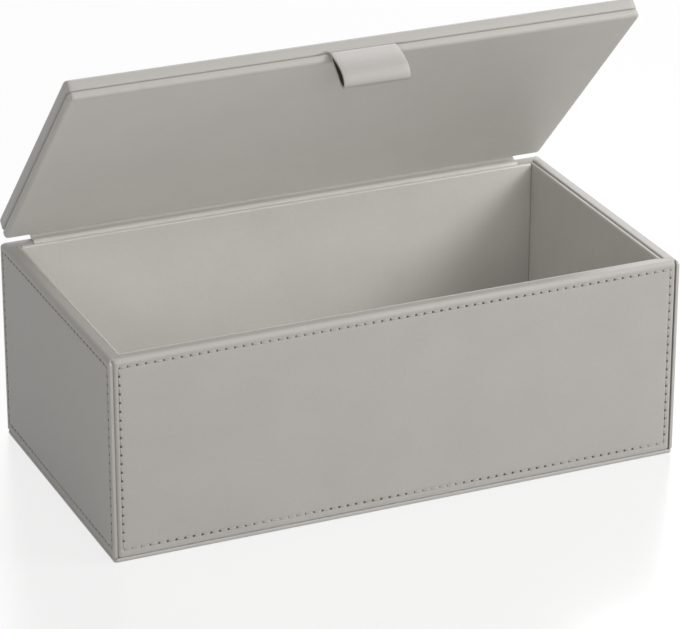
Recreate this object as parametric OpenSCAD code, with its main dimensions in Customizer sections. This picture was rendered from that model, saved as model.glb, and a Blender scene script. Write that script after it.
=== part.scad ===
// Leather covered stationery box with a hinged lid and a pull tab.
// Origin: centre of the underside. Front face towards -Y, hinge at the back, +Z up.
// The lid is drawn standing open at lid_open degrees from closed.

/* [Box] */
// Width of the box over the side panels
box_w = 270; // [180:1:360]
// Depth of the box over the front and back panels
box_d = 141; // [100:1:220]
// Height of the rim above the surface the box stands on
box_h = 95; // [60:1:150]

/* [Walls] */
// Thickness of the stitched leather panel on each wall
panel_t = 1.6; // [1:0.1:2.4]
// Thickness of the wall board behind the panel
board_t = 4.2; // [3:0.1:8]
// Thickness of the panel leather where it turns over the rim
rim_t = 1.2; // [0.6:0.1:2]
// Radius of the soft outer edge of the rim
rim_roll = 2.4; // [1.6:0.1:3]
// Radius of the inner edge of the rim
rim_inner_roll = 1; // [0.4:0.1:1.4]
// Radius of the other edges of the panels
panel_roll = 0.8; // [0.3:0.1:1]
// Thickness of the wall linings
lining_t = 1.8; // [1:0.1:3]
// How far the top edges of the linings sit below the rim
lining_drop = 2; // [1:0.5:6]

/* [Base] */
// Thickness of the leather around the base plate
base_leather_t = 0.7; // [0.5:0.1:1.5]
// Thickness of the base plate under the walls
base_plate_t = 1.3; // [1:0.1:4]
// Thickness of the floor board between the walls
floor_board_t = 3; // [2:0.1:6]
// Thickness of the floor lining
floor_lining_t = 1.2; // [0.8:0.1:3]
// Radius of the corners of the base
base_corner_r = 2; // [1:0.1:6]
// Radius of the leather edge of the base
base_roll = 0.6; // [0.3:0.1:0.9]

/* [Lid] */
// Opening angle of the lid as drawn, 0 is closed
lid_open = 46; // [10:1:100]
// Thickness of the outer layer of the lid
lid_outer_t = 5.9; // [3:0.1:10]
// Thickness of the inner layer of the lid
lid_inner_t = 3.9; // [3:0.1:8]
// Thickness of the leather around both layers
lid_leather_t = 1; // [0.6:0.1:1.4]
// How far the lid stands back from each side of the box
lid_reveal = 1; // [0:0.1:4]
// How far the lid reaches past the front panel
lid_overhang = 0.2; // [0:0.1:3]
// Gap between the lid and the rim when closed
lid_gap = 0.3; // [0.2:0.1:1]
// Radius of the corners of the lid
lid_corner_r = 2.5; // [1.5:0.1:8]
// Radius of the leather edges of the lid
lid_roll = 1.3; // [0.5:0.1:1.4]

/* [Hinge strip] */
// How far the strip stops short of each side of the box
hinge_inset = 12; // [10:0.5:50]
// Thickness of the strip
hinge_t = 0.8; // [0.5:0.1:1.2]
// Length of the strip held in the wall and in the lid
hinge_hold = 18; // [8:1:30]
// Distance of the pivot line in front of the back face
pivot_in = 1; // [0.5:0.1:2]
// Height of the pivot line above the rim
pivot_up = 0.8; // [0.6:0.1:2]
// Distance from the pivot line to the back edge of the lid
pivot_reach = 2; // [1.6:0.1:4]

/* [Pull tab] */
// Width of the tab
tab_w = 31; // [15:1:60]
// Length of the tab below the seam of the lid
tab_drop = 19; // [12:0.5:30]
// Thickness of the tab leather
tab_t = 1.1; // [0.7:0.1:1.2]
// Width of the loop between the two leaves
tab_slot = 2.2; // [1:0.1:4]
// Length of the tab held in the lid
tab_hold = 12; // [6:1:25]
// Gap between the tab and the front edge of the lid
tab_gap = 0.4; // [0.3:0.1:1]

/* [Stitching] */
// Distance from one stitch to the next
stitch_pitch = 4; // [3:0.1:6]
// Length of a stitch
stitch_l = 3; // [1.5:0.1:4]
// Width of the thread
thread_w = 0.6; // [0.3:0.1:1]
// How far the thread stands out of the leather
thread_h = 0.2; // [0.1:0.05:0.3]
// Distance of the stitch rows from the upper and lower panel edges
stitch_inset = 3.8; // [3.2:0.1:10]
// Distance of the stitch columns from the side edges of their panel
stitch_side = 2.9; // [2.5:0.1:10]

/* [Hidden] */
$fn = 48;

wall_t = panel_t + board_t;
base_t = base_leather_t + base_plate_t;
wall_h = box_h - base_t;
mitre_z = box_h - rim_roll;
mitre_reach = wall_t + 1;

// hinge line, and the lid in a frame of its own that has the hinge line as its X axis
pivot_y = box_d / 2 - pivot_in;
pivot_z = box_h + pivot_up;
lid_w = box_w - 2 * lid_reveal;
lid_front = pivot_y + box_d / 2 + lid_overhang;
lid_d = lid_front - pivot_reach;
lid_face = lid_gap - pivot_up;
lid_seam = lid_face + lid_inner_t;
lid_top = lid_seam + lid_outer_t;
hinge_w = box_w - 2 * hinge_inset;

// the back lining stands in front of the hinge strip
back_lining_y = wall_t + hinge_t;

// the tab's loop: depth of its neck, radius and height of its fold
neck_z = lid_seam - 2 * tab_t - tab_gap;
fold_r = tab_t + tab_slot / 2;
fold_z = lid_seam - tab_drop + fold_r;

leather = "#a9a59d";
leather_inside = "#a19d95";
thread_colour = "#8f8b84";
board_colour = "#8a7f70";

// what a rounding takes off a square corner at the origin
module corner_cut(r) {
    difference() {
        translate([-1, -1]) square(r + 1);
        translate([r, r]) circle(r);
    }
}

// rectangle with four round corners
module round_rect(w, d, r) {
    difference() {
        square([w, d]);
        corner_cut(r);
        translate([w, 0]) mirror([1, 0]) corner_cut(r);
        translate([0, d]) mirror([0, 1]) corner_cut(r);
        translate([w, d]) mirror([1, 0]) mirror([0, 1]) corner_cut(r);
    }
}

// flat plate with soft edges all round, centred in X, from y = 0 and z = 0
module soft_plate(w, d, t, edge_r, corner_r) {
    intersection() {
        translate([-w / 2, 0, 0]) linear_extrude(t) round_rect(w, d, corner_r);
        translate([-w / 2, 0, 0]) rotate([90, 0, 90]) linear_extrude(w) round_rect(d, t, edge_r);
        translate([-w / 2, d, 0]) rotate([90, 0, 0]) linear_extrude(d) round_rect(w, t, edge_r);
    }
}

// puts its children in the lid's frame: hinge line along X, lid towards -Y, top up when closed
module in_lid() {
    translate([0, pivot_y, pivot_z]) rotate([-lid_open, 0, 0]) children();
}

// section of a wall panel: x runs in from the outer face, y runs up
module panel_section() {
    difference() {
        union() {
            square([panel_t, wall_h]);
            translate([0, wall_h - rim_t]) square([wall_t, rim_t]);
        }
        corner_cut(panel_roll);
        translate([0, wall_h]) mirror([0, 1]) corner_cut(rim_roll);
        translate([wall_t, wall_h]) mirror([1, 0]) mirror([0, 1]) corner_cut(min(rim_inner_roll, rim_t));
    }
}

// section of a lining with a rounded top edge
module lining_section(t, h) {
    translate([t / 2, h - t / 2]) circle(t / 2);
    square([t, h - t / 2]);
}

// prism over the corner of the box, from a plan drawn with the corner at the origin
module corner_prism(z0, z1) {
    translate([0, 0, z0]) linear_extrude(z1 - z0) children();
}

// panel along a long wall: its ends stand between the side panels, its rim is mitred
module long_panel() {
    difference() {
        translate([-box_w / 2, -box_d / 2, base_t]) rotate([90, 0, 90]) linear_extrude(box_w) panel_section();
        for (s = [0, 1]) mirror([s, 0, 0]) translate([-box_w / 2, -box_d / 2, 0]) {
            corner_prism(base_t - 1, mitre_z) translate([-1, -1]) square([panel_t + 1, mitre_reach]);
            corner_prism(mitre_z, box_h + 1) polygon([[-1, -1], [-1, mitre_reach], [mitre_reach, mitre_reach]]);
            corner_prism(base_t - 1, mitre_z) translate([panel_t, 0]) corner_cut(panel_roll);
            corner_prism(mitre_z, box_h + 1) corner_cut(panel_roll);
        }
    }
}

// panel along a short wall: it covers the ends of the long walls
module short_panel() {
    difference() {
        translate([-box_w / 2, box_d / 2, base_t]) rotate([90, 0, 0]) linear_extrude(box_d) panel_section();
        for (s = [0, 1]) mirror([0, s, 0]) translate([-box_w / 2, -box_d / 2, 0]) {
            corner_prism(mitre_z, box_h + 1) polygon([[-1, -1], [mitre_reach, -1], [mitre_reach, mitre_reach]]);
            corner_prism(base_t - 1, box_h + 1) corner_cut(panel_roll);
        }
    }
}

// board of a long wall, between the side boards
module long_board() {
    w = box_w - 2 * wall_t;
    translate([-w / 2, -box_d / 2 + panel_t, base_t]) cube([w, board_t, wall_h - rim_t]);
}

// board of a short wall, over the whole depth behind the panels
module short_board() {
    d = box_d - 2 * panel_t;
    translate([-box_w / 2 + panel_t, -d / 2, base_t]) cube([board_t, d, wall_h - rim_t]);
}

// lining of a long wall, its back at the distance y_in from the outer face
module long_lining(y_in) {
    w = box_w - 2 * (wall_t + lining_t);
    translate([-w / 2, -box_d / 2 + y_in, base_t]) rotate([90, 0, 90]) linear_extrude(w)
        lining_section(lining_t, wall_h - lining_drop);
}

// lining of a short wall, between the long boards
module short_lining() {
    d = box_d - 2 * wall_t;
    translate([-box_w / 2 + wall_t, d / 2, base_t]) rotate([90, 0, 0]) linear_extrude(d)
        lining_section(lining_t, wall_h - lining_drop);
}

// one row of stitches along X, centred, lying on z = 0
module stitch_row(length) {
    count = floor((length - stitch_l) / stitch_pitch) + 1;
    for (i = [0 : count - 1])
        translate([(i - (count - 1) / 2) * stitch_pitch - stitch_l / 2, -thread_w / 2, 0])
            cube([stitch_l, thread_w, thread_h]);
}

// rows around a rectangle w by d centred on the origin, on z = 0
module stitch_frame(w, d) {
    gap = stitch_pitch;
    for (s = [-1, 1]) {
        translate([0, s * d / 2, 0]) stitch_row(w);
        translate([s * w / 2, 0, 0]) rotate(90) stitch_row(d - gap);
    }
}

// stitches on a long wall, standing on its front face
module long_stitches() {
    w = box_w - 2 * (panel_t + stitch_side);
    h = wall_h - 2 * stitch_inset;
    translate([0, -box_d / 2, base_t + wall_h / 2]) rotate([90, 0, 0]) stitch_frame(w, h);
}

// stitches on a short wall
module short_stitches() {
    w = box_d - 2 * stitch_side;
    h = wall_h - 2 * stitch_inset;
    translate([-box_w / 2, 0, base_t + wall_h / 2]) rotate([90, 0, -90]) stitch_frame(w, h);
}

module base_plate() {
    color(board_colour)
        translate([0, -box_d / 2 + base_leather_t, base_leather_t])
            linear_extrude(base_plate_t)
                translate([-box_w / 2 + base_leather_t, 0])
                    round_rect(box_w - 2 * base_leather_t, box_d - 2 * base_leather_t, base_corner_r);
}

module base_skin() {
    color(leather) difference() {
        translate([0, -box_d / 2, 0]) soft_plate(box_w, box_d, base_t, base_roll, base_corner_r);
        translate([-box_w / 2 + base_leather_t, -box_d / 2 + base_leather_t, base_leather_t])
            linear_extrude(base_plate_t + 1)
                round_rect(box_w - 2 * base_leather_t, box_d - 2 * base_leather_t, base_corner_r);
    }
}

// plan of the space between the wall linings
module inner_plan() {
    x = box_w / 2 - wall_t - lining_t;
    y0 = -box_d / 2 + wall_t + lining_t;
    y1 = box_d / 2 - back_lining_y - lining_t;
    translate([-x, y0]) square([2 * x, y1 - y0]);
}

module floor_board() {
    color(board_colour) translate([0, 0, base_t]) linear_extrude(floor_board_t) inner_plan();
}

module floor_lining() {
    color(leather_inside) translate([0, 0, base_t + floor_board_t]) linear_extrude(floor_lining_t) inner_plan();
}

module front_board() { color(board_colour) long_board(); }
module front_skin() { color(leather) long_panel(); }
module front_lining() { color(leather_inside) long_lining(wall_t); }
module front_stitches() { color(thread_colour) long_stitches(); }

module back_board() { color(board_colour) mirror([0, 1, 0]) long_board(); }
module back_skin() { color(leather) mirror([0, 1, 0]) long_panel(); }
module back_lining() { color(leather_inside) mirror([0, 1, 0]) long_lining(back_lining_y); }
module back_stitches() { color(thread_colour) mirror([0, 1, 0]) long_stitches(); }

module left_board() { color(board_colour) short_board(); }
module left_skin() { color(leather) short_panel(); }
module left_lining() { color(leather_inside) short_lining(); }
module left_stitches() { color(thread_colour) short_stitches(); }

module right_board() { color(board_colour) mirror([1, 0, 0]) short_board(); }
module right_skin() { color(leather) mirror([1, 0, 0]) short_panel(); }
module right_lining() { color(leather_inside) mirror([1, 0, 0]) short_lining(); }
module right_stitches() { color(thread_colour) mirror([1, 0, 0]) short_stitches(); }

// the board of the lid's outer layer, with room for its leather above and around it
module lid_board() {
    color(board_colour) in_lid()
        translate([-lid_w / 2 + lid_leather_t, -lid_front + lid_leather_t, lid_seam])
            cube([lid_w - 2 * lid_leather_t, lid_d - 2 * lid_leather_t, lid_outer_t - lid_leather_t]);
}

module lid_skin() {
    color(leather) in_lid() difference() {
        translate([0, -lid_front, lid_seam]) soft_plate(lid_w, lid_d, lid_outer_t, lid_roll, lid_corner_r);
        translate([-lid_w / 2 + lid_leather_t, -lid_front + lid_leather_t, lid_seam - 1])
            cube([lid_w - 2 * lid_leather_t, lid_d - 2 * lid_leather_t, lid_outer_t - lid_leather_t + 1]);
    }
}

module lid_stitches() {
    w = lid_w - 2 * (panel_t + stitch_side);
    d = lid_d - 2 * stitch_inset;
    color(thread_colour) in_lid() translate([0, -lid_front + lid_d / 2, lid_top]) stitch_frame(w, d);
}

// what the hinge strip and the tab take out of the lid's inner layer
module inner_pockets() {
    translate([-hinge_w / 2, -pivot_reach - hinge_hold, lid_seam - hinge_t])
        cube([hinge_w, hinge_hold + 5, hinge_t + 1]);
    translate([-tab_w / 2, -lid_front - 5, lid_seam - 2 * tab_t])
        cube([tab_w, tab_hold + 5, 2 * tab_t + 1]);
}

module lid_inner_board() {
    color(board_colour) in_lid() difference() {
        translate([-lid_w / 2 + lid_leather_t, -lid_front + lid_leather_t, lid_face + lid_leather_t])
            cube([lid_w - 2 * lid_leather_t, lid_d - 2 * lid_leather_t, lid_inner_t - lid_leather_t]);
        inner_pockets();
    }
}

module lid_lining() {
    color(leather_inside) in_lid() difference() {
        translate([0, -lid_front, lid_face]) soft_plate(lid_w, lid_d, lid_inner_t, lid_roll, lid_corner_r);
        translate([-lid_w / 2 + lid_leather_t, -lid_front + lid_leather_t, lid_face + lid_leather_t])
            cube([lid_w - 2 * lid_leather_t, lid_d - 2 * lid_leather_t, lid_inner_t]);
        inner_pockets();
    }
}

// points of an arc round a centre, from angle a to angle b
function arc(centre, r, a, b, steps = 12) =
    [for (i = [0 : steps]) let (t = a + (b - a) * i / steps) centre + r * [cos(t), sin(t)]];

// front of the tab between its fold and its neck, set back by t
function tab_front(t, steps = 12) =
    [for (i = [1 : steps - 1]) let (u = i / steps)
        [tab_gap + 2 * tab_t + tab_slot * (1 + cos(180 * u)) / 2 - t, fold_z + (neck_z - fold_z) * u]];

// section of the tab: x is how far it stands in front of the lid, y is up when the lid is closed
module tab_section() {
    fold = [tab_gap + fold_r, fold_z];
    difference() {
        polygon(concat(
            [[-tab_hold, lid_seam], [-tab_hold, lid_seam - 2 * tab_t]],
            arc([0, neck_z], tab_gap, 90, 0),
            arc(fold, fold_r, 180, 360),
            tab_front(0),
            arc([0, neck_z], tab_gap + 2 * tab_t, 0, 90)
        ));
        polygon(concat(
            [[tab_gap + tab_t, neck_z]],
            arc(fold, tab_slot / 2, 180, 360),
            tab_front(tab_t)
        ));
    }
}

module pull_tab() {
    color(leather) in_lid() translate([tab_w / 2, -lid_front, 0]) rotate([90, 0, -90]) linear_extrude(tab_w)
        tab_section();
}

// end of the strip behind the back lining
module hinge_wall_end() {
    color(leather_inside) translate([-hinge_w / 2, box_d / 2 - wall_t - hinge_t, box_h - hinge_hold])
        cube([hinge_w, hinge_t, hinge_hold - lining_drop]);
}

// end of the strip between the two layers of the lid
module hinge_lid_end() {
    color(leather_inside) in_lid() translate([-hinge_w / 2, -pivot_reach - hinge_hold, lid_seam - hinge_t])
        cube([hinge_w, hinge_hold, hinge_t]);
}

// a point of the lid's frame in the section of the opened box
function opened(y, z) = [
    pivot_y + y * cos(lid_open) + z * sin(lid_open),
    pivot_z - y * sin(lid_open) + z * cos(lid_open)
];

// flexible middle of the strip: up behind the lining's edge, over the rim and up to the lid
module hinge_strip() {
    yi = box_d / 2 - wall_t;
    yr = box_d / 2 - rim_roll;
    section = [
        [yi - hinge_t, box_h - lining_drop],
        [yi, box_h - lining_drop],
        [yi, box_h],
        [yr, box_h],
        opened(-pivot_reach, lid_seam),
        opened(-pivot_reach, lid_seam - hinge_t),
        [yr - hinge_t / 4, box_h + hinge_t],
        [yi - hinge_t, box_h + hinge_t]
    ];
    color(leather_inside) translate([-hinge_w / 2, 0, 0]) rotate([90, 0, 90]) linear_extrude(hinge_w) polygon(section);
}

base_plate();
base_skin();
floor_board();
floor_lining();
front_board();
front_skin();
front_lining();
front_stitches();
back_board();
back_skin();
back_lining();
back_stitches();
left_board();
left_skin();
left_lining();
left_stitches();
right_board();
right_skin();
right_lining();
right_stitches();
lid_board();
lid_skin();
lid_stitches();
lid_inner_board();
lid_lining();
pull_tab();
hinge_wall_end();
hinge_strip();
hinge_lid_end();
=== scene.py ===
# %% [markdown]
# # A leather covered stationery box
# The real box is made of pressed boards wrapped in smooth, satin finished leather. Its four
# walls carry stitched panels whose leather rolls softly over the rim, and the lid is two padded
# layers that hang on a strip of the same leather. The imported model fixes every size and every
# joint, so the lesson starts by loading it.

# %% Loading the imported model
import math
import bpy
import bmesh
import numpy as np
from mathutils import Matrix, Vector, noise


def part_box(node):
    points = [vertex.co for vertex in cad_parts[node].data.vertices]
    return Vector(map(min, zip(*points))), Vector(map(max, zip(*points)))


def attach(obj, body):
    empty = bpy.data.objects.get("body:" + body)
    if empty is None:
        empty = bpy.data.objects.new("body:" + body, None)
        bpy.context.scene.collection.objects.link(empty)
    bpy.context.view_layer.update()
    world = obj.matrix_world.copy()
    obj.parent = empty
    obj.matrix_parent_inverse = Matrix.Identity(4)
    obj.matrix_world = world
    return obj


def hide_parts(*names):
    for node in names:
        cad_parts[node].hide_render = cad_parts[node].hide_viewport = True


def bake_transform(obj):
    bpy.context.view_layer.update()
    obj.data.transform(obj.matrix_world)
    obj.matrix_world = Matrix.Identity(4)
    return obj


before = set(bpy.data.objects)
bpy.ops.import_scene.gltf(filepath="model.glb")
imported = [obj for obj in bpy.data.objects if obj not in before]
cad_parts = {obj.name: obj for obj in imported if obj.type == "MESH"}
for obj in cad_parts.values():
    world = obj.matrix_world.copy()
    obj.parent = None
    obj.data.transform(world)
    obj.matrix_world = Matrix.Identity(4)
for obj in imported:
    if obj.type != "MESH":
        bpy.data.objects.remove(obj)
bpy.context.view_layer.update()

MM = 0.001

# %% [markdown]
# A maker measures before cutting leather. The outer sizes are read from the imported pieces, and
# the small ones are repeated here as the box maker's own numbers, all in millimetres.

# %% Sizes of the box
base_low, base_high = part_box("base_skin")
W = (base_high.x - base_low.x) / MM
D = (base_high.y - base_low.y) / MM
BASE = base_high.z / MM
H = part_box("front_skin")[1].z / MM
PANEL = 1.6  # leather of a wall panel with its padding
WALL = 5.8  # rim, from the outside to the lining
ROLL = 2.4  # radius of the leather's turn over the rim
LINING = 1.8  # lining card
LINING_DROP = 0.5  # top of the lining below the rim
HINGE_T, HINGE_W = 0.8, W - 28  # leather strip of the hinge
PITCH = 4.0  # one stitch
print(f"box {W:.1f} x {D:.1f} x {H:.1f} mm, base {BASE:.1f} mm")

# %% [markdown]
# The lid is made flat, in its own frame: the hinge line is the X axis, the front edge points to
# -Y and up is +Z when the box is closed. One matrix turns a finished lid piece to where the
# packed lid stands open.

# %% The lid's own frame
PIVOT = Vector((0, D / 2 - 1, H + 0.8)) * MM
LID_OPEN = 46  # degrees
LID_W = W - 2
LID_FRONT = 140.2
LID_BACK = 2.0
LID_FACE = -0.5  # the face that lies on the rim
LID_SEAM = 3.4  # where the two layers meet
LID_TOP = 9.3
to_lid = Matrix.Translation(PIVOT) @ Matrix.Rotation(math.radians(-LID_OPEN), 4, "X")
print("lid hinge line at", tuple(round(v, 4) for v in PIVOT))

# %% [markdown]
# The photograph is taken from the front left, a little above the rim, with a long lens, so the
# edges of the box run almost parallel. The camera comes from the box's own edges: its place,
# the way it looks and its focal length were fitted to the corners that can be seen.

# %% Camera
camera_data = bpy.data.cameras.new("camera")
camera = bpy.data.objects.new("camera", camera_data)
bpy.context.scene.collection.objects.link(camera)
bpy.context.scene.camera = camera
camera_data.sensor_width = 36
camera_data.lens = 190.6
camera_data.clip_start, camera_data.clip_end = 0.05, 20
camera.location = (-0.59312, -1.35803, 0.71956)
yaw, pitch = math.radians(23.628), math.radians(23.863)
looking = Vector((math.sin(yaw) * math.cos(pitch), math.cos(yaw) * math.cos(pitch),
                  -math.sin(pitch)))
camera.rotation_euler = looking.to_track_quat("-Z", "Y").to_euler()
print("camera lens", camera_data.lens, "mm")

# %% [markdown]
# Materials are mixed from nodes. One function adds any node with its settings and links, and
# one turns a colour that is written as sRGB hex into the linear values that Blender works in.
# Two more start an empty material and make a colour darker or lighter.

# %% Helpers for materials
def linear(hex_colour):
    channels = [int(hex_colour[i:i + 2], 16) / 255 for i in (1, 3, 5)]
    return [c / 12.92 if c <= 0.04045 else ((c + 0.055) / 1.055) ** 2.4 for c in channels] + [1.0]


def add(tree, kind, inputs=None, **settings):
    node = tree.nodes.new(kind)
    for name, value in settings.items():
        setattr(node, name, value)
    for socket, value in (inputs or {}).items():
        if isinstance(value, bpy.types.NodeSocket):
            tree.links.new(value, node.inputs[socket])
        else:
            node.inputs[socket].default_value = value
    return node


def empty_material(name):
    material = bpy.data.materials.new(name)
    material.use_nodes = True
    material.node_tree.nodes.clear()
    return material, material.node_tree


def shade(colour, strength):
    return (*(Vector(linear(colour)[:3]) * strength), 1)


print("half grey is", round(linear("#808080")[0], 3), "in linear light")

# %% [markdown]
# The outside is corrected grain leather: sanded smooth, pigmented and given a satin top coat.
# The eye sees an even grey beige with faint clouds and flecks. On the rolled edges and over the
# rim it is a touch paler, partly wear from hands and folds and partly painted highlight; the
# pieces carry that paleness as a per-point attribute.
# The lining is the same leather in a thinner, slightly warmer split.

# %% Colour of the leather
CLOUD_MM, FLECK_MM = 22, 1.6


def leather_colour(tree, where, wear_and_sheen, clouds, colour):
    flecks = add(tree, "ShaderNodeTexNoise", {"Vector": where, "Scale": 1 / (FLECK_MM * MM),
                                              "Detail": 2.0})
    tint = add(tree, "ShaderNodeMix", {"Factor": clouds, "A": shade(colour, 0.95),
                                       "B": shade(colour, 1.05)}, data_type="RGBA")
    speck = add(tree, "ShaderNodeMix", {"Factor": flecks.outputs["Fac"],
                                        "A": (0.96, 0.96, 0.96, 1),
                                        "B": (1.04, 1.04, 1.04, 1)}, data_type="RGBA")
    coat = add(tree, "ShaderNodeMix", {"Factor": 1.0, "A": tint.outputs["Result"],
                                       "B": speck.outputs["Result"]},
               data_type="RGBA", blend_type="MULTIPLY")
    # paler on rolled edges and over the rim: wear and painted highlight
    paled = add(tree, "ShaderNodeMix", {"Factor": wear_and_sheen, "A": coat.outputs["Result"],
                                       "B": shade(colour, 1.07)}, data_type="RGBA")
    return paled.outputs["Result"]


print("clouds of", CLOUD_MM, "mm and flecks of", FLECK_MM, "mm")

# %% [markdown]
# Close by, the coat shows a very fine pebble of about half a millimetre, finer pores on it and
# slow creases of some six millimetres. Three bumps follow each other for that, all shallower
# than a tenth of a millimetre, so they stay surface and never take the place of a real form.

# %% Grain and gloss of the leather
CREASE_MM, CREASE_DEEP = 6, 0.06


def leather_grain(tree, where, pebble_mm, depth_mm):
    pebble = add(tree, "ShaderNodeTexVoronoi", {"Vector": where, "Scale": 1 / (pebble_mm * MM),
                                                "Smoothness": 0.6}, feature="SMOOTH_F1")
    pores = add(tree, "ShaderNodeTexNoise", {"Vector": where, "Scale": 3 / (pebble_mm * MM),
                                             "Detail": 2.0})
    creases = add(tree, "ShaderNodeTexNoise", {"Vector": where, "Scale": 1 / (CREASE_MM * MM),
                                               "Detail": 2.0, "Distortion": 0.6})
    grain = add(tree, "ShaderNodeBump", {"Height": pebble.outputs["Distance"], "Strength": 0.5,
                                         "Distance": depth_mm * MM}, invert=True)
    finer = add(tree, "ShaderNodeBump", {"Height": pores.outputs["Fac"], "Strength": 0.5,
                                         "Distance": depth_mm * MM * 0.6,
                                         "Normal": grain.outputs["Normal"]})
    waves = add(tree, "ShaderNodeBump", {"Height": creases.outputs["Fac"], "Strength": 0.4,
                                         "Distance": CREASE_DEEP * MM,
                                         "Normal": finer.outputs["Normal"]})
    return waves.outputs["Normal"]


def leather_material(name, colour, pebble_mm, roughness, depth_mm):
    material, tree = empty_material(name)
    where = add(tree, "ShaderNodeTexCoord").outputs["Object"]
    # paleness of each point: wear and painted highlight
    wear_and_sheen = add(tree, "ShaderNodeAttribute", attribute_name="wear_and_sheen").outputs["Fac"]
    clouds = add(tree, "ShaderNodeTexNoise", {"Vector": where, "Scale": 1 / (CLOUD_MM * MM),
                                              "Detail": 3.0}).outputs["Fac"]
    gloss = add(tree, "ShaderNodeMapRange", {"Value": clouds, "To Min": roughness - 0.04,
                                             "To Max": roughness + 0.04})
    smooth = add(tree, "ShaderNodeMath", {0: wear_and_sheen, 1: -0.07, 2: gloss.outputs["Result"]},
                 operation="MULTIPLY_ADD")
    shader = add(tree, "ShaderNodeBsdfPrincipled", {
        "Base Color": leather_colour(tree, where, wear_and_sheen, clouds, colour),
        "Roughness": smooth.outputs["Value"], "IOR": 1.43,
        "Normal": leather_grain(tree, where, pebble_mm, depth_mm)})
    add(tree, "ShaderNodeOutputMaterial", {"Surface": shader.outputs["BSDF"]})
    return material


leather_out = leather_material("satin corrected grain leather", "#a9a6a2", pebble_mm=0.55,
                               roughness=0.50, depth_mm=0.030)
leather_in = leather_material("lining leather split", "#aba8a3", pebble_mm=0.45,
                              roughness=0.54, depth_mm=0.024)
print("made", leather_out.name, "and", leather_in.name)

# %% [markdown]
# The boards inside are grey pulp board, matt and fibrous. The thread is waxed polyester in the
# colour of the leather. A needle hole is only a small dark place where little light gets in, so
# its material is a dull brown grey, painted shade. The inside of the pull tab's loop lies in deep
# shade, and a rough dark material paints that shade there.

# %% Board, thread, and painted shade for needle holes and the tab's loop
def matt_material(name, colour, roughness, grain_mm, depth_mm, streak=1.0):
    material, tree = empty_material(name)
    where = add(tree, "ShaderNodeTexCoord").outputs["Object"]
    laid = add(tree, "ShaderNodeMapping", {"Vector": where, "Scale": (1, streak, 1)})
    fibre = add(tree, "ShaderNodeTexNoise", {"Vector": laid.outputs["Vector"],
                                             "Scale": 1 / (grain_mm * MM), "Detail": 3.0})
    tint = add(tree, "ShaderNodeMix", {"Factor": fibre.outputs["Fac"], "A": shade(colour, 0.85),
                                       "B": shade(colour, 1.12)}, data_type="RGBA")
    bump = add(tree, "ShaderNodeBump", {"Height": fibre.outputs["Fac"], "Strength": 0.6,
                                        "Distance": depth_mm * MM})
    shader = add(tree, "ShaderNodeBsdfPrincipled", {"Base Color": tint.outputs["Result"],
                                                    "Roughness": roughness, "IOR": 1.5,
                                                    "Normal": bump.outputs["Normal"]})
    add(tree, "ShaderNodeOutputMaterial", {"Surface": shader.outputs["BSDF"]})
    return material


board = matt_material("pulp board", "#8a7f70", 0.85, 0.9, 0.05, streak=3.0)
thread = matt_material("waxed polyester thread", "#aaa69d", 0.62, 0.22, 0.03)
hole_dark = matt_material("shaded needle hole", "#4d463f", 0.9, 0.5, 0.02)
loop_shade_paint = matt_material("painted shade inside the tab loop", "#4a443c", 0.95, 0.4, 0.06)
print("made", board.name, thread.name, hole_dark.name, loop_shade_paint.name)

# %% [markdown]
# Every leather piece is a grid: columns run along the piece and each column follows the piece's
# section. The grid gives smooth rolled edges and room for the small dents of the stitching. One
# function joins such a grid to a closed skin. An open section, as of leather wrapped over a
# board, gets a plain back that lies hidden on the board, and a closed one is capped at its ends.

# %% Faces of a grid
def grid_faces(columns, section, backed):
    at = lambda c, j: c * section + j
    faces = [(at(c, j), at(c + 1, j), at(c + 1, j + 1), at(c, j + 1))
             for c in range(columns - 1) for j in range(section - 1)]
    last = columns - 1
    if not backed:
        faces += [(at(c, section - 1), at(c + 1, section - 1), at(c + 1, 0), at(c, 0))
                  for c in range(last)]
        faces += [tuple(at(0, j) for j in range(section)),
                  tuple(at(last, j) for j in reversed(range(section)))]
        return faces
    back = lambda end, j: (columns + end) * section + j
    for j in range(section - 1):
        faces.append((at(0, j), at(0, j + 1), back(0, j + 1), back(0, j)))
        faces.append((at(last, j + 1), at(last, j), back(1, j), back(1, j + 1)))
        faces.append((back(0, j), back(0, j + 1), back(1, j + 1), back(1, j)))
    for j in (0, section - 1):
        faces.append((back(0, j), *(at(c, j) for c in range(columns)), back(1, j)))
    return faces


print("a grid of 3 x 4 points closes with", len(grid_faces(3, 4, False)), "faces")

# %% [markdown]
# From those faces comes the piece itself: in metres, with its faces pointing outwards, smooth but
# for its sharp edges, and with the paleness of each point, wear and painted highlight, stored as
# an attribute.

# %% From a grid of points to a piece
SHARP = 50  # degrees


def face_outwards(mesh):
    shape = bmesh.new()
    shape.from_mesh(mesh)
    bmesh.ops.recalc_face_normals(shape, faces=shape.faces)
    shape.to_mesh(mesh)
    shape.free()


def grid_mesh(name, points, backs, wear_and_sheen, place, material):
    columns, section = points.shape[:2]
    verts = [tuple(p) for p in points.reshape(-1, 3)]
    if backs is not None:
        verts += [tuple(p) for p in backs.reshape(-1, 3)]
    mesh = bpy.data.meshes.new(name)
    mesh.from_pydata(verts, [], grid_faces(columns, section, backs is not None))
    paled = mesh.attributes.new("wear_and_sheen", "FLOAT", "POINT")
    values = np.zeros(len(verts), np.float32)
    values[:columns * section] = wear_and_sheen.reshape(-1)
    paled.data.foreach_set("value", values)
    face_outwards(mesh)
    mesh.transform(Matrix.Diagonal((MM, MM, MM, 1)))
    if place is not None:
        mesh.transform(place)
    mesh.shade_smooth()
    mesh.set_sharp_from_angle(angle=math.radians(SHARP))
    mesh.materials.append(material)
    piece = bpy.data.objects.new(name, mesh)
    bpy.context.scene.collection.objects.link(piece)
    print(f"{name}: {len(mesh.polygons)} faces")
    return piece


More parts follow.
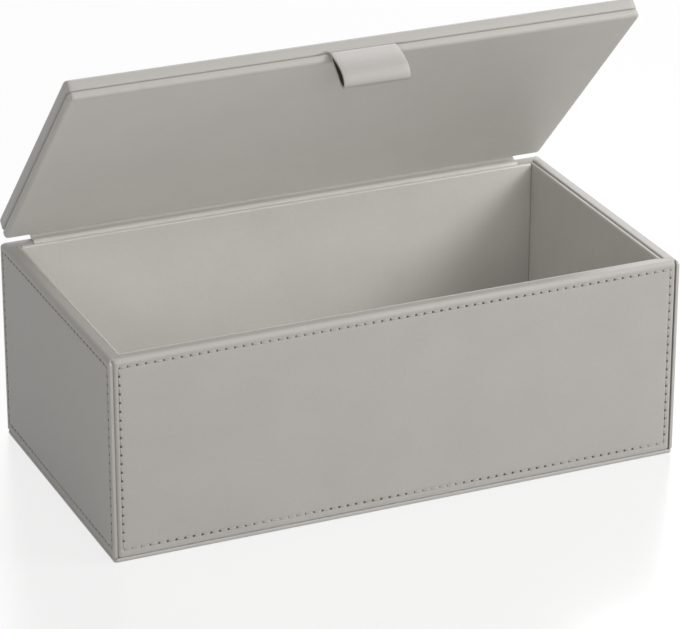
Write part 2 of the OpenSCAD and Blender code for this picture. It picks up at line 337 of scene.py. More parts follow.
# %% [markdown]
# A section is a chain of points with the direction that is outwards at each one. Arcs make the
# rolled edges, and straight runs get as many points as the stitching on them needs. Along a
# piece the columns stand close together near both ends, where its edge is rolled, and evenly in
# between.

# %% Drawing sections
END = [0, 0.08, 0.2, 0.36, 0.56, 0.8, 1.05, 1.3, 1.6, 1.95, 2.3, 2.6, 2.9, 3.2, 3.6, 4.1, 4.8,
       5.6, 6.6, 7.8, 9.2]
END_MID = 10.5  # from here on the columns are even


def arc(cx, cy, r, start, end, steps):
    turn = [math.radians(start + (end - start) * i / steps) for i in range(steps + 1)]
    return [(cx + r * math.cos(t), cy + r * math.sin(t), math.cos(t), math.sin(t)) for t in turn]


def run(x0, y0, x1, y1, steps, normal):
    return [(x0 + (x1 - x0) * i / steps, y0 + (y1 - y0) * i / steps, *normal)
            for i in range(1, steps)]


def along(half, e_mid, count):
    left = [-half + e for e in END]
    mid = [-half + e_mid + (2 * (half - e_mid)) * i / count for i in range(count + 1)]
    return left + mid + [-a for a in reversed(left)]


def rounded(edge, r):
    return r - math.sqrt(max(0.0, r * r - (r - edge) ** 2)) if edge < r else 0.0


print("columns along the front:", len(along(W / 2, END_MID, 60)))

# %% [markdown]
# Stitching pulls leather down into a shallow channel, deepest at the needle holes, and lets it
# swell a little between them. This function gives that depth for any point on a panel, from the
# rectangle that the seam follows. A second one gives the slow waves of leather glued to board.

# %% Dents of the stitching
GROOVE_DEEP, GROOVE_WIDE = 0.17, 0.85
PUCKER_DEEP, PUCKER_WIDE = 0.09, 1.5
WAVE_LONG, WAVE_HIGH = 38.0, 0.07


# 1 along the seam and 0 beyond its ends, with a short soft step between
def within(beyond):
    return 1 / (1 + math.exp(min(40, (beyond - 0.2) * 5)))


def seam_dent(a, b, half_a, b0, b1, steps_a, steps_b):
    depth = 0.0
    inside_a = within(abs(a) - half_a)
    inside_b = within(max(b0 - b, b - b1))
    for across, t, steps, span, inside in (
            (b - b0, a + half_a, steps_a, 2 * half_a, inside_a),
            (b - b1, a + half_a, steps_a, 2 * half_a, inside_a),
            (a - half_a, b - b0, steps_b, b1 - b0, inside_b),
            (a + half_a, b - b0, steps_b, b1 - b0, inside_b)):
        groove = GROOVE_DEEP * math.exp(-(across / GROOVE_WIDE) ** 2)
        stitch = math.cos(2 * math.pi * t * steps / span)
        pucker = PUCKER_DEEP * stitch * math.exp(-(across / PUCKER_WIDE) ** 2)
        depth = max(depth, (groove + pucker) * inside)
    return depth


def unevenness(x, y, z):
    return noise.noise(Vector((x, y, z)) / WAVE_LONG) * WAVE_HIGH


print(f"deepest dent {GROOVE_DEEP + PUCKER_DEEP:.2f} mm")

# %% [markdown]
# Each wall carries a stitched panel. Its leather comes up the wall, rolls over the rim in one
# soft curve and turns down inside. Its hidden back lies on the board.

# %% Section of a wall panel
FOOT = 0.9  # roll at the foot
SEAM_RIM, SEAM_END = 3.8, 2.9  # seam to rim and base, seam to the ends
SEAM_LOW, SEAM_HIGH = BASE + SEAM_RIM, H - SEAM_RIM
UPRIGHT = 21  # stitches in an upright row
TURN_R, TURN_T, TURN_END = 1.0, 1.1, 3.0  # turn inside: radius, leather, how deep it goes
RIM_T = 1.2  # leather on the rim


def panel_back(across, up):
    if up < H - ROLL:
        return (PANEL, up) if across < WALL - 1 else (WALL - TURN_T, H - TURN_END)
    if across <= PANEL:
        return (PANEL, up - 0.1 * across / PANEL)
    past = max(0.0, across - WALL + TURN_T)
    return (min(across, WALL - TURN_T) + 0.1 * past, H - RIM_T - 0.1 * (H - up))


def panel_section():
    step = (SEAM_HIGH - SEAM_LOW) / UPRIGHT / 4
    heights = {SEAM_LOW + i * step for i in range(4 * UPRIGHT + 1)}
    heights |= {s + d for s in (SEAM_LOW, SEAM_HIGH) for d in (-1.2, -0.75, -0.35, 0.35, 0.75)}
    heights = sorted(h for h in heights if BASE + FOOT + 0.2 < h < H - ROLL - 0.15)
    outer = arc(FOOT, BASE + FOOT, FOOT, 270, 180, 6)
    outer += [(0.0, h, -1, 0) for h in heights]
    outer += arc(ROLL, H - ROLL, ROLL, 180, 90, 14)
    outer += run(ROLL, H, WALL - TURN_R, H, 3, (0, 1))
    outer += arc(WALL - TURN_R, H - TURN_R, TURN_R, 90, 0, 6)
    outer += [(WALL, H - 1.6, 1, 0), (WALL + 0.1, H - TURN_END, 1, 0)]
    return outer


panel_outer = panel_section()
print("panel section:", len(panel_outer), "points")

# %% [markdown]
# The side panels run to the very corner and show their cut edge as a narrow upright strip, with
# the front and back panels standing between them. On the rim the two leathers meet in a mitre.
# So the ends of the grid depend on how far in each point of the section lies.

# %% Making the four wall panels
MITRE_R, SIDE_R, FACE_R = 0.2, 0.75, 2.0  # roundings at the ends of the panels
CALM = 12  # within this of an edge the leather lies flat
PALE_REACH = 0.9  # how far in from a cut edge the leather is paler, as wear and painted highlight


def wall_place(facing):
    turn = Matrix.Rotation(math.radians(90 * facing), 4, "Z")
    out = (D if facing % 2 == 0 else W) / 2
    return turn @ Matrix.Translation((0, -out * MM, 0))


# paler at the cut edges, over the rim and at the foot: wear and painted highlight
def panel_wear_and_sheen(edge, across, up):
    edge_wear_and_sheen = math.exp(-edge / PALE_REACH) if across <= PANEL else 0
    over_rim = math.sin(math.pi * min(1, max(0, (across - 0.4) / 5))) * 0.6
    return min(1, max(edge_wear_and_sheen, over_rim if up > H - ROLL else 0, 0.5 if up < BASE + FOOT else 0))


def wall_panel(name, node, length, side, facing, steps_a):
    stands_in = 0 if side else PANEL
    seam_half = length / 2 - SEAM_END - stands_in
    seam_pitch = 2 * seam_half / steps_a
    e_mid = (length / 2 - stands_in - seam_half) + 2 * seam_pitch
    count = 4 * (steps_a - 4)
    points = np.zeros((2 * len(END) + count + 1, len(panel_outer), 3))
    wear_and_sheen = np.zeros(points.shape[:2])
    backs = np.zeros((2, len(panel_outer), 3))
    for j, (across, up, n_in, n_up) in enumerate(panel_outer):
        reach = max(across, PANEL) if not side else (across if up > H - ROLL else 0)
        half = length / 2 - reach
        round_r = MITRE_R if across > PANEL else (SIDE_R if side else FACE_R)
        for c, a in enumerate(along(half, e_mid, count)):
            edge = half - abs(a)
            calm = min(1.0, edge / CALM) * (1 if up < H - CALM else max(0, (H - up) / CALM))
            lift = unevenness(a, facing * 90, up) * calm - rounded(edge, round_r)
            if across == 0:
                lift -= seam_dent(a, up, seam_half, SEAM_LOW, SEAM_HIGH, steps_a, UPRIGHT)
            points[c, j] = (a, across + n_in * lift, up + n_up * lift)
            wear_and_sheen[c, j] = panel_wear_and_sheen(edge, across, up)
        backs[0, j] = (-half, *panel_back(across, up))
        backs[1, j] = (half, *panel_back(across, up))
    piece = grid_mesh(name, points, backs, wear_and_sheen, wall_place(facing), leather_out)
    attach(piece, "box")
    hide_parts(node)
    return piece


ACROSS_LONG, ACROSS_SHORT = 65, 34  # stitches in a level row
wall_panel("front_panel_leather", "front_skin", W, False, 0, ACROSS_LONG)
wall_panel("back_panel_leather", "back_skin", W, False, 2, ACROSS_LONG)
right_panel = wall_panel("right_panel_leather", "right_skin", D, True, 1, ACROSS_SHORT)
wall_panel("left_panel_leather", "left_skin", D, True, 3, ACROSS_SHORT)

# %% [markdown]
# Inside each wall stands a lining card wrapped in the thinner leather. Its top edge is a small
# round bead about half a millimetre below the rim, and the fine dark groove that runs round the
# mouth of the box lies between bead and rim. The back lining stands further in, because the
# hinge strip goes down behind it, and beyond the strip's ends the card is fuller, so that no
# gap is left there.

# %% Wall linings
LINING_FOOT = BASE + 0.6
LINING_CALM, LINING_R = 10, 0.6


def lining_section():
    top, half_t = H - LINING_DROP, LINING / 2
    face = [(0.0, h, 1, 0) for h in np.linspace(BASE + 4.0, top - half_t - 0.4, 24)]
    bead = arc(-half_t, top - half_t, half_t, 0, 180, 12)
    return [(0.0, LINING_FOOT, 1, 0)] + face + bead + [(-LINING, LINING_FOOT, -1, 0)]


def lining_card(name, node, length, facing, inner, strip_half=None):
    section = lining_section()
    half = length / 2
    grid = along(half, END_MID, int(length / 4))
    points = np.zeros((len(grid), len(section), 3))
    wear_and_sheen = np.zeros(points.shape[:2])
    for j, (out, up, n_out, n_up) in enumerate(section):
        for c, a in enumerate(grid):
            edge = half - abs(a)
            lift = -rounded(edge, LINING_R)
            if out == 0:
                lift += unevenness(a, facing * 70 + 31, up) * min(1, edge / LINING_CALM)
            fuller = 0
            if strip_half is not None:
                fuller = min(1, max(0, (abs(a) - strip_half - 0.3) / 0.7))
            deep = inner + out * (1 + fuller * HINGE_T / LINING)
            points[c, j] = (a, deep + n_out * lift, up + n_up * lift)
            # the bead's top is paler the more it faces up: painted highlight, with some wear
            wear_and_sheen[c, j] = 0.5 * max(0, n_up)
    piece = grid_mesh(name, points, None, wear_and_sheen, wall_place(facing), leather_in)
    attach(piece, "box")
    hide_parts(node)
    return piece


LINED = WALL + LINING
LINING_LONG, LINING_SHORT = W - 2 * LINED - 0.1, D - 2 * WALL
linings = [
    lining_card("front_lining_leather", "front_lining", LINING_LONG, 0, LINED),
    lining_card("back_lining_leather", "back_lining", LINING_LONG, 2, WALL + HINGE_T + LINING,
                strip_half=HINGE_W / 2),
    lining_card("right_lining_leather", "right_lining", LINING_SHORT, 1, LINED),
    lining_card("left_lining_leather", "left_lining", LINING_SHORT, 3, LINED),
]
right_wall = [right_panel, linings[2]]

# %% [markdown]
# The floor lining, the base and the two layers of the lid are all soft plates: a flat board
# wrapped so that every edge is rolled and the corners are a little round in plan. The section
# runs all the way round the plate, and towards its two ends it is drawn in by the same roll.

# %% Section of a soft plate
def plate_section(y0, y1, z0, z1, rolls, flat):
    low, high = rolls
    roll = max(rolls)
    near = [e for e in END if e > roll + 0.15]
    even = [y for y in np.linspace(y0 + roll, y1 - roll, flat) if y0 + 10 < y < y1 - 10]
    rows = sorted(set([y0 + e for e in near] + [y1 - e for e in near] + even))
    section = arc(y0 + low, z0 + low, low, 270, 180, 7)
    section += arc(y0 + high, z1 - high, high, 180, 90, 7)
    section += [(y, z1, 0, 1) for y in rows]
    section += arc(y1 - high, z1 - high, high, 90, 0, 7)
    section += arc(y1 - low, z0 + low, low, 0, -90, 7)
    return section + [(y, z0, 0, -1) for y in reversed(rows)]


print("base section:", len(plate_section(-D / 2, D / 2, 0, BASE, (0.85, 0.85), 26)), "points")

# %% [markdown]
# The plate itself is that section, repeated along its length. Where the roll of the ends is
# wider than an edge's own roll, the edge moves in with it. A plate may be dented by stitching,
# and one more function may touch each point, as a hand would press or lift the leather.

# %% Soft plates
# how much paler the rolled sides and the ends of a plate are
EDGE_PALE, END_PALE = 0.64, 0.8


def soft_plate(name, w, y0, y1, z0, z1, rolls, corner, material, place=None, dent=None, seed=0,
               flat=26, cols=60, touch=None):
    low, high = rolls
    roll = max(rolls)
    depth, mid, middle = y1 - y0, (y0 + y1) / 2, (z0 + z1) / 2
    section = plate_section(y0, y1, z0, z1, rolls, flat)
    grid = along(w / 2, END_MID, cols)
    points = np.zeros((len(grid), len(section), 3))
    wear_and_sheen = np.zeros(points.shape[:2])
    for c, x in enumerate(grid):
        edge = w / 2 - abs(x)
        inset, plan = rounded(edge, roll), rounded(edge, corner)
        drawn = 1 - max(0.0, plan - inset) / (depth / 2)
        for j, (y, z, n_y, n_z) in enumerate(section):
            lift = -inset
            if abs(n_z) < 1 or n_y:
                own = low if z < middle else high
                lift = -min(inset, own - 0.03)
                y += math.copysign(inset + lift, mid - y)
                z += math.copysign(inset + lift, middle - z)
            else:
                calm = min(1.0, edge / CALM, (depth / 2 - abs(y - mid)) / CALM)
                lift += unevenness(x, y, z * 20 + seed) * max(0, calm)
                if dent and n_z == 1:
                    lift -= dent(x, y)
            points[c, j] = (x, mid + (y - mid) * drawn + n_y * lift, z + n_z * lift)
            if touch:
                points[c, j] += touch(points[c, j], edge, n_y, n_z)
            wear_and_sheen[c, j] = max(EDGE_PALE * (1 - abs(n_z)), END_PALE * math.exp(-edge / roll))
    return grid_mesh(name, points, None, wear_and_sheen, place, material)


# %% [markdown]
# The floor is a lined card that fills the bottom between the four linings. The base is a plate a
# little thicker, wrapped in the outer leather, and shows as a narrow strip under the walls.

# %% Floor lining and base
floor_plate = soft_plate("floor_lining_leather", W - 2 * LINED, -D / 2 + WALL + LINING,
                         D / 2 - WALL - HINGE_T - LINING, BASE + 3, BASE + 4.2,
                         rolls=(0.5, 0.5), corner=0.6, material=leather_in, seed=11)
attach(floor_plate, "box")
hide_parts("floor_lining")
linings.append(floor_plate)

base_plate = soft_plate("base_leather", W, -D / 2, D / 2, 0, BASE + 0.02, rolls=(0.85, 0.85),
                        corner=2.0, material=leather_out, seed=23)
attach(base_plate, "box")
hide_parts("base_skin")

# %% [markdown]
# The top of the lid carries the same stitching as the walls. At each corner the leather is
# folded, which leaves a shallow dent, and beside the root of the pull tab the lip of the lid's
# outer layer is lifted a little.

# %% Stitching, folds and lip of the lid
LID_MID = (-LID_FRONT - LID_BACK) / 2
LID_HALF_Y = (LID_FRONT - LID_BACK) / 2 - SEAM_RIM
LID_HALF_X = LID_W / 2 - 4.5
LID_LONG, LID_SHORT = 65, 33  # stitches
TAB_W = 31
FOLD_DEEP, FOLD_AT, FOLD_WIDE = 0.22, 0.9, 0.26
LIFT_LEFT, LIFT_RIGHT, LIP = 1.3, 0.5, 3


def lid_dent(x, y):
    return seam_dent(x, y, LID_HALF_X, LID_MID - LID_HALF_Y, LID_MID + LID_HALF_Y, LID_LONG,
                     LID_SHORT)


def lid_touch(point, edge, n_y, n_z, lifted=True):
    x, y, z = point
    fold = FOLD_DEEP * math.exp(-((edge - FOLD_AT) / FOLD_WIDE) ** 2) if abs(n_y) > 0.6 else 0
    shift = np.array([-math.copysign(fold, x), -math.copysign(fold, n_y), 0.0])
    root = abs(x) - TAB_W / 2 - 0.6
    beside = max(0.0, 1 - abs(root) / (7 if root > 0 else 1.4)) ** 1.4
    inwards = max(0.0, 1 - (y + LID_FRONT) / LIP)
    if lifted and n_z <= 0.2:
        low = max(0.0, 1 - (z - LID_SEAM) / LIP)
        shift[2] += (LIFT_LEFT if x < 0 else LIFT_RIGHT) * beside * inwards * low
    return shift


print("lid seam", round(2 * LID_HALF_X, 1), "x", round(2 * LID_HALF_Y, 1), "mm")

# %% [markdown]
# The lid is two soft plates glued together, a thicker outer one and a thinner inner one that is
# the lid's lining. The seam between them runs round all four edges.

# %% The two layers of the lid
lid_outer = soft_plate("lid_outer_leather", LID_W, -LID_FRONT, -LID_BACK, LID_SEAM, LID_TOP,
                       rolls=(1.1, 1.6), corner=2.9, material=leather_out, place=to_lid,
                       dent=lid_dent, seed=37, flat=128, cols=250, touch=lid_touch)
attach(lid_outer, "lid")
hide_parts("lid_skin")

lid_inner = soft_plate("lid_inner_leather", LID_W, -LID_FRONT, -LID_BACK, LID_FACE, LID_SEAM,
                       rolls=(1.6, 0.9), corner=2.7, material=leather_in, place=to_lid,
                       seed=53, flat=40, cols=80,
                       touch=lambda *of: lid_touch(*of, lifted=False))
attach(lid_inner, "lid")
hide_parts("lid_lining")

# %% [markdown]
# The pull tab and the hinge are bands of leather. A band is drawn along its middle line, with its
# two long edges pared round. The inside of a looped band may get a dark material of painted shade.

# %% Bands of leather
def band_loop(half, edge_r, across):
    rim = [(-half + edge_r + edge_r * math.cos(math.radians(t)), math.sin(math.radians(t)))
           for t in range(90, 271, 20)][1:-1]
    top = [(x, 1.0) for x in np.linspace(half - edge_r, -half + edge_r, across)]
    return top + rim + [(x, -1.0) for x, _ in reversed(top)] + [(-x, s) for x, s in reversed(rim)]


def band(name, line, width, thick, material, place, edge_r=0.35, across=12, inside=None):
    line = [Vector((0, *p)) for p in line]
    half = width / 2
    loop = band_loop(half, edge_r, across)
    points = np.zeros((len(line), len(loop), 3))
    wear_and_sheen = np.zeros(points.shape[:2])
    for c, p in enumerate(line):
        ahead = (line[min(c + 1, len(line) - 1)] - line[max(c - 1, 0)]).normalized()
        normal = Vector((0, -ahead.z, ahead.y))
        for j, (x, s) in enumerate(loop):
            q = p + normal * (s * thick / 2)
            points[c, j] = (x, q.y, q.z)
            wear_and_sheen[c, j] = 1.0 if abs(x) > half - edge_r else 0.15
    piece = grid_mesh(name, points, None, wear_and_sheen, place, material)
    # the loop's inner faces get the second material, painted shade
    if inside:
        piece.data.materials.append(inside)
        for c in range(len(line) - 1):
            for j in range(across - 1):
                piece.data.polygons[c * (len(loop) - 1) + j].material_index = 1
    return piece


print("a band's section has", len(band_loop(TAB_W / 2, 0.35, 12)), "points")

# %% [markdown]
# The pull tab is one band folded on itself. Both ends are held in the seam of the lid, and the
# fold hangs in front of the edge as a flat loop with a bulging front: the front leaf leaves the
# seam at a slant, swings out and comes straight down into the fold.

# %% The pull tab
TAB_T, TAB_GAP, TAB_HOLD = 1.1, 0.4, 12  # leather, gap to the lid's edge, length in the seam
TAB_OPEN, TAB_LEAN, TAB_DROP, TAB_FOLD = 4.1, 0.5, 19, 4.6
LEAVES, SWING = math.radians(30), 12


def turned(cx, cy, rx, ry, degrees):
    return [(cx + rx * math.cos(math.radians(t)), cy + ry * math.sin(math.radians(t)))
            for t in degrees]


def tab_line():
    neck = LID_SEAM - 2 * TAB_T - TAB_GAP
    back_r, front_r = TAB_GAP + TAB_T / 2, TAB_GAP + 1.5 * TAB_T
    half_open = (TAB_OPEN + TAB_T) / 2
    fold_z = LID_SEAM - TAB_DROP + TAB_T / 2 + TAB_FOLD
    fold_x = back_r + TAB_LEAN + half_open
    line = [(-TAB_HOLD, LID_SEAM - TAB_T / 2), (-TAB_HOLD / 2, LID_SEAM - TAB_T / 2)]
    line += turned(0, neck, front_r, front_r, range(90, 30, -10))
    start = Vector((front_r * math.cos(LEAVES), neck + front_r * math.sin(LEAVES)))
    end = Vector((fold_x + half_open, fold_z))
    out, down = Vector((math.sin(LEAVES), -math.cos(LEAVES))) * SWING, Vector((0, -SWING))
    for i in range(20):
        u = i / 20
        line.append(tuple(start * (2 * u ** 3 - 3 * u ** 2 + 1) + out * (u ** 3 - 2 * u ** 2 + u)
                          + end * (3 * u ** 2 - 2 * u ** 3) + down * (u ** 3 - u ** 2)))
    line += turned(fold_x, fold_z, half_open, TAB_FOLD, range(0, -181, -10))
    for i in range(1, 14):
        u = i / 14
        line.append((back_r + TAB_LEAN * (1 - u * u * (3 - 2 * u)), fold_z + (neck - fold_z) * u))
    line += turned(0, neck, back_r, back_r, range(0, 91, 15))
    line += [(-TAB_HOLD / 2, LID_SEAM - 1.5 * TAB_T), (-TAB_HOLD, LID_SEAM - 1.5 * TAB_T)]
    return [(-LID_FRONT - x, z) for x, z in line]


# the inside of the loop is painted shade
tab = band("pull_tab_leather", tab_line(), TAB_W, TAB_T - 0.04, leather_out, to_lid,
           inside=loop_shade_paint)
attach(tab, "lid")
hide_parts("pull_tab")

# %% [markdown]
# The hinge is a strip of lining leather. It is glued behind the back lining, comes over the rim,
# rises to the seam of the lid and is glued in there. In the real box it is the piece that bends;
# here it is drawn in one pose: it follows the box up to the rim, the lid from the seam on, and
# turns smoothly in between.

# %% The hinge strip
RIM_EDGE = 0.9  # rounding of the board's edge under the strip
RISE, REACH_IN = 2.2, 1.3  # how far the bend keeps its way at the rim and at the seam


def in_lid_section(y, z):
    p = to_lid @ (Vector((0, y, z)) * MM)
    return Vector((p.y / MM, p.z / MM))


def hinge_line():
    yi, half_t = D / 2 - WALL, HINGE_T / 2
    line = [(yi - half_t, H - down) for down in (18, 8, 2)]
    line += turned(yi + RIM_EDGE, H - RIM_EDGE, RIM_EDGE + half_t, RIM_EDGE + half_t,
                   range(180, 89, -15))
    start = Vector((D / 2 - ROLL - 0.3, H + half_t))
    line += [(yi + RIM_EDGE + (start.x - yi - RIM_EDGE) * i / 4, H + half_t) for i in range(1, 4)]
    end = in_lid_section(-LID_BACK, LID_SEAM - half_t)
    into = in_lid_section(-LID_BACK - 1, LID_SEAM - half_t) - end
    p1, p2 = start + Vector((RISE, 0.0)), end - into * REACH_IN
    for i in range(0, 13):
        u = i / 12
        line.append(tuple(start * (1 - u) ** 3 + p1 * 3 * u * (1 - u) ** 2
                          + p2 * 3 * u * u * (1 - u) + end * u ** 3))
    line += [tuple(end + into * d) for d in (1, 4, 9, 18)]
    return line, start, end


strip_line, bend_start, bend_end = hinge_line()
strip = band("hinge_strip_leather", strip_line, HINGE_W, HINGE_T - 0.04, leather_in, None,
             edge_r=0.25, across=60)
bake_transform(strip)
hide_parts("hinge_wall_end", "hinge_strip", "hinge_lid_end")
linings.append(strip)

# %% [markdown]
# Stitches repeat more than seven hundred times, so Geometry Nodes lay them. A seam is only a
# line with the direction that is outwards there. The tree cuts it into steps of one stitch,
# puts a unit on each step, turns it along the seam and jitters it a little, as a sewing
# machine's stitches vary. Two units are needed: the thread, and the hole that it dives into.

# %% The stitching tree
INPUTS = {"Seam": "Geometry", "Unit": "Object", "Stitch length": "Float", "Slant": "Float",
          "Seed": "Int", "Finish": "Material"}
JITTER = 0.05


def stitch_rotation(tree, given):
    outward = add(tree, "GeometryNodeInputNamedAttribute", {"Name": "outward"},
                  data_type="FLOAT_VECTOR")
    tangent = add(tree, "GeometryNodeInputTangent")
    facing = add(tree, "FunctionNodeAxesToRotation", {"Primary Axis": outward.outputs["Attribute"],
                                                      "Secondary Axis": tangent.outputs[0]},
                 primary_axis="Z", secondary_axis="X")
    shake = add(tree, "FunctionNodeRandomValue", {"Min": -JITTER, "Max": JITTER,
                                                  "Seed": given["Seed"]}, data_type="FLOAT")
    turn = add(tree, "ShaderNodeMath", {0: shake.outputs[1], 1: given["Slant"]}, operation="ADD")
    euler = add(tree, "ShaderNodeCombineXYZ", {"Z": turn.outputs[0]})
    twist = add(tree, "FunctionNodeEulerToRotation", {"Euler": euler.outputs["Vector"]})
    turned_unit = add(tree, "FunctionNodeRotateRotation",
                      {"Rotation": facing.outputs["Rotation"],
                       "Rotate By": twist.outputs["Rotation"]}, rotation_space="LOCAL")
    return turned_unit.outputs["Rotation"]


def stitching_tree():
    tree = bpy.data.node_groups.new("stitches along a seam", "GeometryNodeTree")
    for name, kind in INPUTS.items():
        tree.interface.new_socket(name, in_out="INPUT", socket_type="NodeSocket" + kind)
    tree.interface.new_socket("Stitches", in_out="OUTPUT", socket_type="NodeSocketGeometry")
    given = add(tree, "NodeGroupInput").outputs
    curve = add(tree, "GeometryNodeMeshToCurve", {"Mesh": given["Seam"]})
    length = add(tree, "GeometryNodeSplineLength")
    ratio = add(tree, "ShaderNodeMath", {0: length.outputs["Length"], 1: given["Stitch length"]},
                operation="DIVIDE")
    whole = add(tree, "ShaderNodeMath", {0: ratio.outputs[0]}, operation="ROUND")
    count = add(tree, "ShaderNodeMath", {0: whole.outputs[0], 1: 1.0}, operation="ADD")
    steps = add(tree, "GeometryNodeResampleCurve", {"Curve": curve.outputs["Curve"],
                                                    "Count": count.outputs[0]}, mode="COUNT")
    last = add(tree, "GeometryNodeCurveEndpointSelection", {"Start Size": 0, "End Size": 1})
    kept = add(tree, "FunctionNodeBooleanMath", {0: last.outputs["Selection"]}, operation="NOT")
    unit = add(tree, "GeometryNodeObjectInfo", {"Object": given["Unit"]})
    laid = add(tree, "GeometryNodeInstanceOnPoints", {"Points": steps.outputs["Curve"],
                                                      "Selection": kept.outputs[0],
                                                      "Instance": unit.outputs["Geometry"],
                                                      "Rotation": stitch_rotation(tree, given)})
    real = add(tree, "GeometryNodeRealizeInstances", {"Geometry": laid.outputs["Instances"]})
    finish = add(tree, "GeometryNodeSetMaterial", {"Geometry": real.outputs["Geometry"],
                                                   "Material": given["Finish"]})
    add(tree, "NodeGroupOutput", {"Stitches": finish.outputs["Geometry"]})
    return tree


tree = stitching_tree()
print("stitching tree:", len(tree.nodes), "nodes")

# %% [markdown]
# The units are small meshes with a few dozen faces. The thread is a flattened arch that starts
# in one hole and dives into the next. The hole is a shallow oval dish that lies in the dent of
# the leather, closed underneath so that it is a solid like every other piece.

# %% Thread unit and hole unit
THREAD_HALF_W, THREAD_HALF_T, THREAD_DIVE = 0.34, 0.24, 0.42
THREAD_IN = 0.35  # from the middle of the hole to the end of the thread
HOLE_LIP, HOLE_FLOOR, HOLE_UNDER = -0.16, -0.21, -0.34  # depths below the leather


def unit_object(name, verts, faces):
    mesh = bpy.data.meshes.new(name)
    mesh.from_pydata([tuple(c * MM for c in v) for v in verts], [], faces)
    face_outwards(mesh)
    mesh.shade_smooth()
    return bpy.data.objects.new(name, mesh)


def thread_unit(length, stations=9, around=6):
    verts, faces = [], []
    for i in range(stations):
        u = i / (stations - 1)
        x = THREAD_IN + (length - 2 * THREAD_IN) * u
        lift = -THREAD_DIVE + THREAD_DIVE * math.sin(math.pi * u) ** 0.55
        fat = 0.75 + 0.25 * math.sin(math.pi * u) ** 0.5
        for k in range(around):
            t = 2 * math.pi * k / around
            verts.append((x, THREAD_HALF_W * fat * math.cos(t),
                          lift + THREAD_HALF_T * fat * math.sin(t)))
    for i in range(stations - 1):
        for k in range(around):
            n = (k + 1) % around
            faces.append((i * around + k, i * around + n, (i + 1) * around + n,
                          (i + 1) * around + k))
    faces += [tuple(range(around)), tuple(range((stations - 1) * around, stations * around))]
    return unit_object("thread unit", verts, faces)


def hole_unit(half_length, half_width):
    angles = np.linspace(0, 2 * math.pi, 13)[:-1]
    lip = [(half_length * math.cos(t), half_width * math.sin(t), HOLE_LIP) for t in angles]
    dish = [(x * 0.6, y * 0.6, HOLE_FLOOR) for x, y, _ in lip]
    under = [(x * 0.6, y * 0.6, HOLE_UNDER) for x, y, _ in lip]
    faces = [(k, (k + 1) % 12, first + (k + 1) % 12, first + k)
             for first in (12, 24) for k in range(12)]
    faces += [tuple(range(12, 24)), tuple(range(24, 36))]
    return unit_object("hole unit", lip + dish + under, faces)


thread_piece = thread_unit(PITCH)
hole_piece = hole_unit(0.86, 0.5)
print("thread unit:", len(thread_piece.data.polygons), "faces,",
      "hole unit:", len(hole_piece.data.polygons), "faces")

# %% [markdown]
# Each wall and the lid's top have one seam, a rectangle of four straight rows. The rows of a
# body are the edges of one small mesh, and each carries the direction that is outwards there.

# %% Seams of the box and of the lid
def rectangle(half_a, b0, b1, place):
    outward = (place.to_3x3() @ Vector((0, -1, 0))).normalized()
    corners = [place @ (Vector((a, 0, b)) * MM)
               for a, b in ((-half_a, b0), (half_a, b0), (half_a, b1), (-half_a, b1))]
    return [(corners[i], corners[(i + 1) % 4], outward) for i in range(4)]


def seam_object(name, rows):
    mesh = bpy.data.meshes.new(name)
    verts = [tuple(p) for row in rows for p in row[:2]]
    mesh.from_pydata(verts, [(2 * i, 2 * i + 1) for i in range(len(rows))], [])
    outward = mesh.attributes.new("outward", "FLOAT_VECTOR", "POINT")
    directions = np.array([tuple(row[2]) for row in rows for _ in (0, 1)], np.float32)
    outward.data.foreach_set("vector", directions.ravel())
    obj = bpy.data.objects.new(name, mesh)
    bpy.context.scene.collection.objects.link(obj)
    return obj


def box_rows():
    rows = []
    for facing, half in ((0, W / 2 - SEAM_END - PANEL), (2, W / 2 - SEAM_END - PANEL),
                         (1, D / 2 - SEAM_END), (3, D / 2 - SEAM_END)):
        rows += rectangle(half, SEAM_LOW, SEAM_HIGH, wall_place(facing))
    return rows


def lid_rows():
    lay = (to_lid @ Matrix.Translation((0, 0, LID_TOP * MM))
           @ Matrix.Rotation(math.radians(-90), 4, "X"))
    return rectangle(LID_HALF_X, LID_MID - LID_HALF_Y, LID_MID + LID_HALF_Y, lay)


print("rows of stitches:", len(box_rows()), "on the box,", len(lid_rows()), "on the lid")

# %% [markdown]
# The tree runs once for the thread and once for the holes of each body. Its result is turned
# into a plain mesh before the frame hears of it, because an export drops instances.

# %% Laying the stitches
HOLE_SLANT = 0.12


def lay_stitches(name, rows, unit, finish, seed, slant=0.0):
    piece = seam_object(name, rows)
    modifier = piece.modifiers.new("stitching", "NODES")
    modifier.node_group = tree
    values = {"Unit": unit, "Stitch length": PITCH * MM, "Slant": slant, "Seed": seed,
              "Finish": finish}
    for item in tree.interface.items_tree:
        if item.name in values and item.in_out == "INPUT":
            modifier[item.identifier] = values[item.name]
    bpy.context.view_layer.update()
    depsgraph = bpy.context.evaluated_depsgraph_get()
    mesh = bpy.data.meshes.new_from_object(piece.evaluated_get(depsgraph), depsgraph=depsgraph)
    piece.modifiers.clear()
    piece.data = mesh
    print(f"{name}: {len(mesh.polygons)} faces")
    return piece


box_thread = lay_stitches("box_stitches_thread", box_rows(), thread_piece, thread, 5)
box_holes = lay_stitches("box_stitches_holes", box_rows(), hole_piece, hole_dark, 6, HOLE_SLANT)
lid_thread = lay_stitches("lid_stitches_thread", lid_rows(), thread_piece, thread, 7)
lid_holes = lay_stitches("lid_stitches_holes", lid_rows(), hole_piece, hole_dark, 8, HOLE_SLANT)
for piece, body in ((box_thread, "box"), (box_holes, "box"), (lid_thread, "lid"),
                    (lid_holes, "lid")):
    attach(piece, body)
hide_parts("front_stitches", "back_stitches", "left_stitches", "right_stitches")
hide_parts("lid_stitches")

# %% [markdown]
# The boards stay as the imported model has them, because nobody sees more of them than a cut
# edge. They only get the finish of pulp board.

